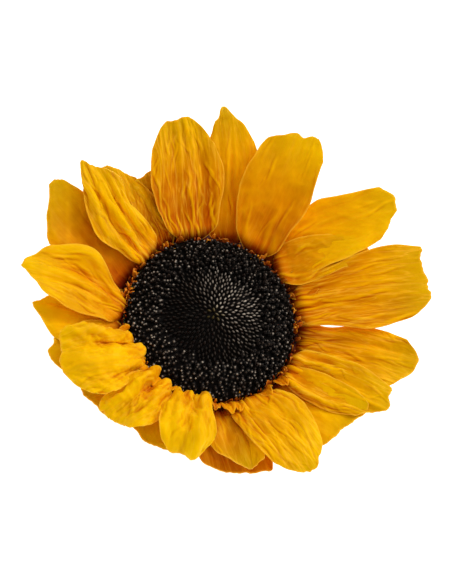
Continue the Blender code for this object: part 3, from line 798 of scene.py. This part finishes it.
def petal_paint(one, index, s, v, broad, fine, creases, bowl, rim):
    """Height on the wrinkles, strength of the thinnest lines, warmth and rim at each point, which the
    finish turns into painted highlights and painted shade.
    """
    folded = 0.6 * broad * one.broad[1] / 0.5 + one.crumple * (1.2 * creases - 0.2)
    relief = 0.5 + 0.5 * np.tanh(1.3 * fine * min(1, one.fine[1] / 0.2) + folded)
    warmths = np.broadcast_to(one.warmth, 2)
    mottle = 0.2 + 0.35 * one.crumple
    warm = np.interp(s, WARMTH_PLACES, warmths)
    # Bowls and the notches between scallops are painted more orange, as shade; the wander is random tone.
    warm += mottle * wander("warmth", index, s * (1 + one.crumple), v) + 0.3 * bowl
    # Lower petals are warmer and darker towards the root: painted shade under the petals above them.
    if one.layer in (BACK, UNDER):
        warm += 0.4 * (1 - fade(s, 0.25))
        relief -= 0.6 * warmths[0] * (1 - fade(s, 0.3))
    # Flaps get weaker painted highlights and painted shade.
    if one.layer == FLAP:
        relief = 0.3 + 0.4 * relief
        rim = 0.6 * rim
    # A painted highlight in an arch over the root of a steep petal.
    if one.lift[0] > STEEP:
        rim = np.maximum(rim, 0.9 * hump(s - ARCH_AT - ARCH_BOW * v**2, ARCH_BREADTH))
    # Strength of the hair-thin painted highlight and shade lines.
    lines = np.clip(1.1 - 0.5 * s + 0.7 * wander("lines", index, s * 2, v * 1.6), 0, 1)
    thin = one.fine[2] * lines * fade(s, 0.1)
    return np.stack([relief, thin, np.clip(warm, 0, 1), rim], -1).reshape(-1, 4)


def add_petal(one, index, finish):
    rows, columns = FLAP_GRID if one.layer == FLAP else PETAL_GRID
    u = np.linspace(0, 1, rows)[:, None]
    v = np.linspace(-1, 1, columns)[None, :]
    reach, s, left, right, half = petal_outline(one, index, u, v)
    across, rise, bowl = petal_form(one, index, s, v, half)
    sheet = petal_sheet(one, s, across, rise)

    draw = np.random.default_rng(SEEDS["wrinkles"] + index)
    shaded = -math.copysign(1, math.sin(LIT_SIDE - math.radians(one.azimuth + one.turn)))
    broad = wrinkles(draw, s, across, left, right, one.broad[0], BROAD_LENGTH, BROAD_BREADTH, shaded)
    fine = wrinkles(draw, s, across, left, right, one.fine[0], FINE_LENGTH, FINE_BREADTH, shaded)
    dents, creases = petal_dents(index, s * one.length / 10, across / (10 * MM))
    from_edge = np.minimum((1 - np.abs(v)) * half, (1 - u) * reach * one.length * MM)
    curl = hump(from_edge, CURL_BREADTH) * wander("curl", index, s * 5, v * 2.5)
    free = fade(s, WRINKLES_FROM)
    height = one.broad[1] * broad * free + one.fine[1] * fine * free
    height += one.crumple * (dents + creases) * fade(s, DENTS_FROM) + EDGE_CURL * curl
    sheet = sheet + normals(sheet) * (height * MM)[..., None]
    thickness = PETAL_THICKNESS * (1 - 0.5 * np.abs(v) ** 8) * (1 + 0.8 * (1 - fade(s, 0.2)))
    vertices, faces = blade(sheet, thickness)

    # A painted highlight along the edge.
    rim = hump(from_edge, RIM_BREADTH)
    paint = petal_paint(one, index, s, v, broad, fine, creases, bowl, rim)
    along = s * COLOUR_SHARE[one.layer]
    uv = np.stack([across / FINISH_BREADTH + index, along], -1).reshape(-1, 2)
    piece(
        f"petal_{index:02d}", vertices, faces, finish, "petals",
        paint=np.concatenate([paint, paint]), uv=np.concatenate([uv, uv]),
    )


def face_height(share):
    """Height of the disc between its florets: a low dome with a trough round its middle."""
    dome = RIM_HEIGHT + DOME_RISE * (1 - share**DOME_POWER)
    return dome - TROUGH_DEPTH * hump(share - TROUGH_AT, TROUGH_WIDTH)


def ringed(profile, sides, wobble=None):
    """Vertices and faces of rings of (radius, height), the first and last ones closed by a point."""
    vertices = []
    faces = []
    for k in range(sides):
        angle = 2 * math.pi * k / sides
        for step, (radius, height) in enumerate(profile):
            out = radius * (wobble(angle, step) if wobble else 1)
            vertices.append(polar(out, angle, height))
    ring = len(profile)
    for k in range(sides):
        here = k * ring
        there = (k + 1) % sides * ring
        faces += [(here + i, there + i, there + i + 1, here + i + 1) for i in range(ring - 1)]
    for end in (0, ring - 1):
        middle = len(vertices)
        vertices.append((0, 0, profile[end][1]))
        for k in range(sides):
            pair = [k * ring + end, (k + 1) % sides * ring + end]
            faces.append((middle, *(pair[::-1] if end == 0 else pair)))
    return np.array(vertices), faces


def open_floret():
    """An open floret in units of its radius: a five-lobed cup, the dark column in it, a pale tip."""

    def lobes(angle, step):
        return 1 + (0.24 if step == CUP_BRIM else 0.08) * math.cos(5 * angle)

    vertices, faces = ringed(OPEN_CUP, FLORET_SIDES, lobes)
    pale = np.clip((vertices[:, 2] - 0.55) * 2.2, 0, 0.5)
    column, column_faces = ringed(OPEN_COLUMN, COLUMN_SIDES)
    faces += [tuple(corner + len(vertices) for corner in face) for face in column_faces]
    vertices = np.concatenate([vertices, column])
    pale = np.concatenate([pale, np.clip((column[:, 2] - 1.0) * 3.2, 0, 1)])
    return vertices, faces, pale


def closed_bud():
    """A closed bud in units of its radius: five soft ribs drawn together to a point."""

    def ribs(angle, _):
        return 1 + 0.1 * math.cos(5 * angle)

    vertices, faces = ringed(BUD_OUTLINE, FLORET_SIDES, ribs)
    return vertices, faces, np.clip((vertices[:, 2] - 0.2) / 0.6, 0, 1)


def floret_change(name, share, angle, size, draw):
    """The turn and stretch of a floret. Open ones lean out, most of all at the rim; buds lean a little out
    in the middle and a little in where the open ones begin."""
    opened = name == "open"
    kind = FLORET_KINDS[name]
    lean = math.radians(10 + 26 * share**3 if opened else -16 * share / OPEN_FROM + 8)
    lean += draw.normal(0, kind.lean_scatter)
    spin = draw.uniform(0, 2 * math.pi) if opened else 0
    sideways = draw.normal(0, kind.side_scatter)
    turn = Matrix.Rotation(angle, 3, "Z") @ Matrix.Rotation(lean, 3, "Y")
    stretched = turn @ Matrix.Rotation(sideways, 3, "X") @ Matrix.Diagonal(kind.stretch)
    return np.array(stretched @ Matrix.Rotation(spin, 3, "Z")) * size


def floret_paleness(name, share, angle, draw):
    """How pale a floret's tip is, partly its own colour and partly a painted glint: on the lit side buds
    are paler, as painted light, and open ones a little less pale.
    """
    facing = 0.5 + 0.5 * math.cos(angle - LIT_SIDE)
    if name == "open":
        return (0.42 + 0.58 * draw.uniform() ** (1.2 + 0.8 * facing)) * (1 - 0.1 * facing)
    return draw.uniform(0.6, 1.0) * (0.36 + 0.95 * facing * (1 - 0.6 * share))


def add_florets(finish):
    draw = np.random.default_rng(SEEDS["florets"])
    shapes = {"open": open_floret(), "bud": closed_bud()}
    heaps = {name: Heap() for name in shapes}
    for n in range(FLORETS):
        share = ((n + 0.5) / FLORETS) ** FLORET_SPREAD
        radius = share * (DISC_RADIUS - FLORET_MARGIN)
        angle = n * GOLDEN_ANGLE + draw.normal(0, SPIRAL_SCATTER[share > OPEN_FROM])
        name = "open" if share + draw.normal(0, OPEN_BLUR) > OPEN_FROM else "bud"
        kind = FLORET_KINDS[name]
        shape, faces, pale = shapes[name]
        size = kind.size * (1 + draw.normal(0, kind.size_scatter))
        change = floret_change(name, share, angle, size, draw)
        stands = size * kind.stands * (1 + draw.normal(0, STANDS_SCATTER))
        place = np.array(polar(radius, angle, face_height(share) + stands))
        tint = np.zeros((len(shape), 3))
        # Pale tips: partly the florets' own colour, partly painted glints that follow the side the lamp is
        # on.
        tint[:, 0] = pale * floret_paleness(name, share, angle, draw)
        tint[:, 1] = draw.uniform(0, 1)
        if share < YELLOWISH_TO:
            tint[:, 2] = 0.25 * pale
        heaps[name].add(shape @ change.T + place, faces, tint)
    for name, heap in heaps.items():
        heap.make(f"florets_{name}", finish, "disc", "dark")


def add_bed(finish):
    """The dark bed that the florets stand in."""
    rings, sides = 26, 96
    shares = np.linspace(0.04, 1, rings)
    profile = [(share * DISC_RADIUS, face_height(share) - BED_DEPTH) for share in shares[::-1]]
    profile = [(DISC_RADIUS, FACE_HEIGHT)] + profile
    vertices, faces = ringed(profile, sides)
    piece("disc_bed", vertices, faces, finish, "disc")


def add_collar(finish):
    """The ring that the petals are rooted in."""
    ring = len(COLLAR_SECTION)
    vertices = []
    faces = []
    for k in range(COLLAR_SIDES):
        angle = 2 * math.pi * k / COLLAR_SIDES
        for radius, height in COLLAR_SECTION:
            wave = 0.25 * math.sin(23 * angle + radius) + 0.15 * math.sin(51 * angle)
            lifted = wave if height > COLLAR_WAVES_FROM else 0
            vertices.append(polar(radius * MM, angle, (height + lifted) * MM))
        here = k * ring
        there = (k + 1) % COLLAR_SIDES * ring
        faces += [(here + i, there + i, there + (i + 1) % ring, here + (i + 1) % ring) for i in range(ring)]
    piece("collar", vertices, faces, finish, "petals")


def scale_sheet(azimuth, radius, length, width, lift, turn, cup):
    """The middle surface of a small pointed scale, and the share along it at each point."""
    rows, columns = SCALE_GRID
    u = np.linspace(0, 1, rows)[:, None]
    v = np.linspace(-1, 1, columns)[None, :]
    s = u + 0 * v
    half = width / 2 * np.maximum(0.08, np.sin(np.pi * (0.18 + 0.8 * s)) ** 0.8)
    start = polar(radius, math.radians(azimuth), SCALE_HEIGHT)
    return bent_sheet(start, azimuth + turn, 0, length, lift, s, half * v, cup * half * v**2), s


def add_scales(finish):
    """Red-brown scales, broader orange ones, and gold crumbs in clusters, between disc and petals."""
    draw = np.random.default_rng(SEEDS["scales"])
    places = []
    for kind, count in RIM_SCALES:
        places += [(360 * (k + draw.uniform(-0.5, 0.5)) / count, kind) for k in range(count)]
    for azimuth, spread, count in CRUMBS:
        places += [(draw.normal(azimuth, spread / 1.5), "gold") for _ in range(count)]
    heap = Heap()
    for azimuth, kind in places:
        look = SCALES[kind]
        lift = [draw.uniform(*limits) for limits in SCALE_LIFTS]
        radius = draw.uniform(*SCALE_RADII) * MM
        length = draw.uniform(*look.length) * MM
        width = draw.uniform(*look.width) * MM
        turn = draw.uniform(*SCALE_TURNS)
        cup = draw.uniform(*SCALE_CUPS)
        sheet, s = scale_sheet(azimuth, radius, length, width, lift, turn, cup)
        tint = np.zeros((s.size, 3))
        tint[:, 0] = s.ravel()
        tint[:, 1] = draw.uniform(*look.gold)
        heap.add(*blade(sheet, np.full(s.shape, SCALE_THICKNESS)), np.concatenate([tint, tint]))
    heap.make("rim_scales", finish, "petals", "yellow")


def add_bract(row, azimuth, index, finish):
    """A pointed bract with a strong middle vein and weaker ones beside it."""
    rows, columns = BRACT_GRID
    u = np.linspace(0, 1, rows)[:, None]
    v = np.linspace(-1, 1, columns)[None, :]
    s = u + 0 * v
    half = row.width / 2 * np.maximum(0.03, (1 - s) ** 0.9 * (1 + 1.3 * s))
    half *= 1 + 0.04 * wander("bract edge", index, s * 5, np.sign(v) * 3)
    vein = hump(v, 0.09) + 0.55 * np.abs(np.cos(3.5 * np.pi * v)) ** 6 * (1 - s)
    rise = 0.18 * half * np.abs(v) ** 1.5 - 0.35 * MM * vein * (1 - s)
    rise += 0.5 * MM * wander("bract surface", index, s * 2.4, v) * s
    start = polar(row.radius, math.radians(azimuth), row.height)
    sheet = bent_sheet(start, azimuth, 0, row.length, row.lift, s, half * v, rise)
    vertices, faces = blade(sheet, BRACT_THICKNESS * (1 - 0.5 * np.abs(v) ** 4) * (1 - 0.4 * s))
    chance = (index * GOLDEN_SHARE) % 1
    paint = np.stack([s,np.clip(vein + 0 * s, 0, 1), chance + 0 * s], -1).reshape(-1, 3)
    uv = np.stack([(v + 1) / 2 + index + 0 * s, s], -1).reshape(-1, 2)
    piece(
        f"bract_{index:02d}", vertices, faces, finish, "calyx",
        paint=np.concatenate([paint, paint]), uv=np.concatenate([uv, uv]),
    )


def add_receptacle(finish):
    """The swollen end of the stem, ribbed, with its flat cut below."""
    radii, heights = (np.array(column, dtype=float) for column in zip(*RECEPTACLE_PROFILE))
    fine = np.linspace(0, len(radii) - 1, RECEPTACLE_RINGS)
    known = np.arange(len(radii))
    profile = list(zip(np.interp(fine, known, radii) * MM, np.interp(fine, known, heights) * MM))

    def ribs(angle, step):
        share = step / RECEPTACLE_RINGS
        return 1 + 0.012 * math.sin(STEM_RIBS * angle) * math.sin(math.pi * share) - 0.01

    vertices, faces = ringed(profile, RECEPTACLE_SIDES, ribs)
    piece("receptacle", vertices, faces, finish, "calyx")


def add_camera():
    """The photograph's view. The middle of the disc's rim falls on RIM_PIXEL."""
    right = Vector((1, 0, 0))
    raised = Vector((0, math.sin(ELEVATION), math.cos(ELEVATION)))
    forward = Vector((0, math.cos(ELEVATION), -math.sin(ELEVATION)))
    picture_right = right * math.cos(ROLL) + raised * math.sin(ROLL)
    picture_up = raised * math.cos(ROLL) - right * math.sin(ROLL)
    across = (IMAGE_WIDTH / 2 - RIM_PIXEL[0]) / PIXELS_PER_MM * MM
    up = (RIM_PIXEL[1] - IMAGE_HEIGHT / 2) / PIXELS_PER_MM * MM
    aim = Vector((0, 0, RIM_PLANE)) + picture_right * across + picture_up * up
    distance = IMAGE_HEIGHT * LENS / SENSOR / PIXELS_PER_MM * MM
    data = bpy.data.cameras.new("camera")
    data.lens = LENS
    data.sensor_width = SENSOR
    data.clip_start = NEAREST_SEEN
    camera = bpy.data.objects.new("camera", data)
    bpy.context.scene.collection.objects.link(camera)
    axes = Matrix((picture_right, picture_up, -forward)).transposed().to_4x4()
    camera.matrix_world = Matrix.Translation(aim - forward * distance) @ axes
    bpy.context.scene.camera = camera


def add_lamp():
    data = bpy.data.lights.new("key", "AREA")
    data.shape = "DISK"
    data.size = LAMP_SIZE
    data.energy = LAMP_POWER
    lamp = bpy.data.objects.new("key", data)
    lamp.location = LAMP_PLACE
    lamp.rotation_euler = (Vector(LAMP_AIM) - Vector(LAMP_PLACE)).to_track_quat("-Z", "Y").to_euler()
    bpy.context.scene.collection.objects.link(lamp)


def add_sky():
    world = bpy.data.worlds.new("studio")
    world.use_nodes = True
    background = world.node_tree.nodes["Background"]
    background.inputs["Color"].default_value = SKY_COLOUR
    background.inputs["Strength"].default_value = SKY_STRENGTH
    bpy.context.scene.world = world


def add_floor():
    mesh = bpy.data.meshes.new("floor")
    signs = ((-1, -1), (1, -1), (1, 1), (-1, 1))
    mesh.from_pydata([(FLOOR_REACH * x, FLOOR_REACH * y, 0) for x, y in signs], [], [(0, 1, 2, 3)])
    floor = bpy.data.objects.new("floor", mesh)
    bpy.context.scene.collection.objects.link(floor)
    finish = Finish("floor", 0.9)
    finish.set("Base Color", FLOOR_COLOUR)
    finish.set("Specular IOR Level", 0.0)
    finish.set("Emission Color", (1, 1, 1, 1))
    finish.set("Emission Strength", FLOOR_GLOW)
    mesh.materials.append(finish.material)


def build():
    petal_look = petal_finish()
    for index, one in enumerate(PETALS + FLAPS):
        add_petal(one, index, petal_look)
    add_collar(collar_finish())
    add_scales(crumb_finish())
    add_bed(bed_finish())
    add_florets(floret_finish())
    add_receptacle(stem_finish())
    bract_look = bract_finish()
    places = [(row, row.first + 360 * k / row.count) for row in BRACTS for k in range(row.count)]
    for index, (row, azimuth) in enumerate(places):
        add_bract(row, azimuth, index, bract_look)
    add_floor()
    add_sky()
    add_lamp()
    add_camera()
    bpy.context.scene.view_settings.view_transform = "Standard"


build()
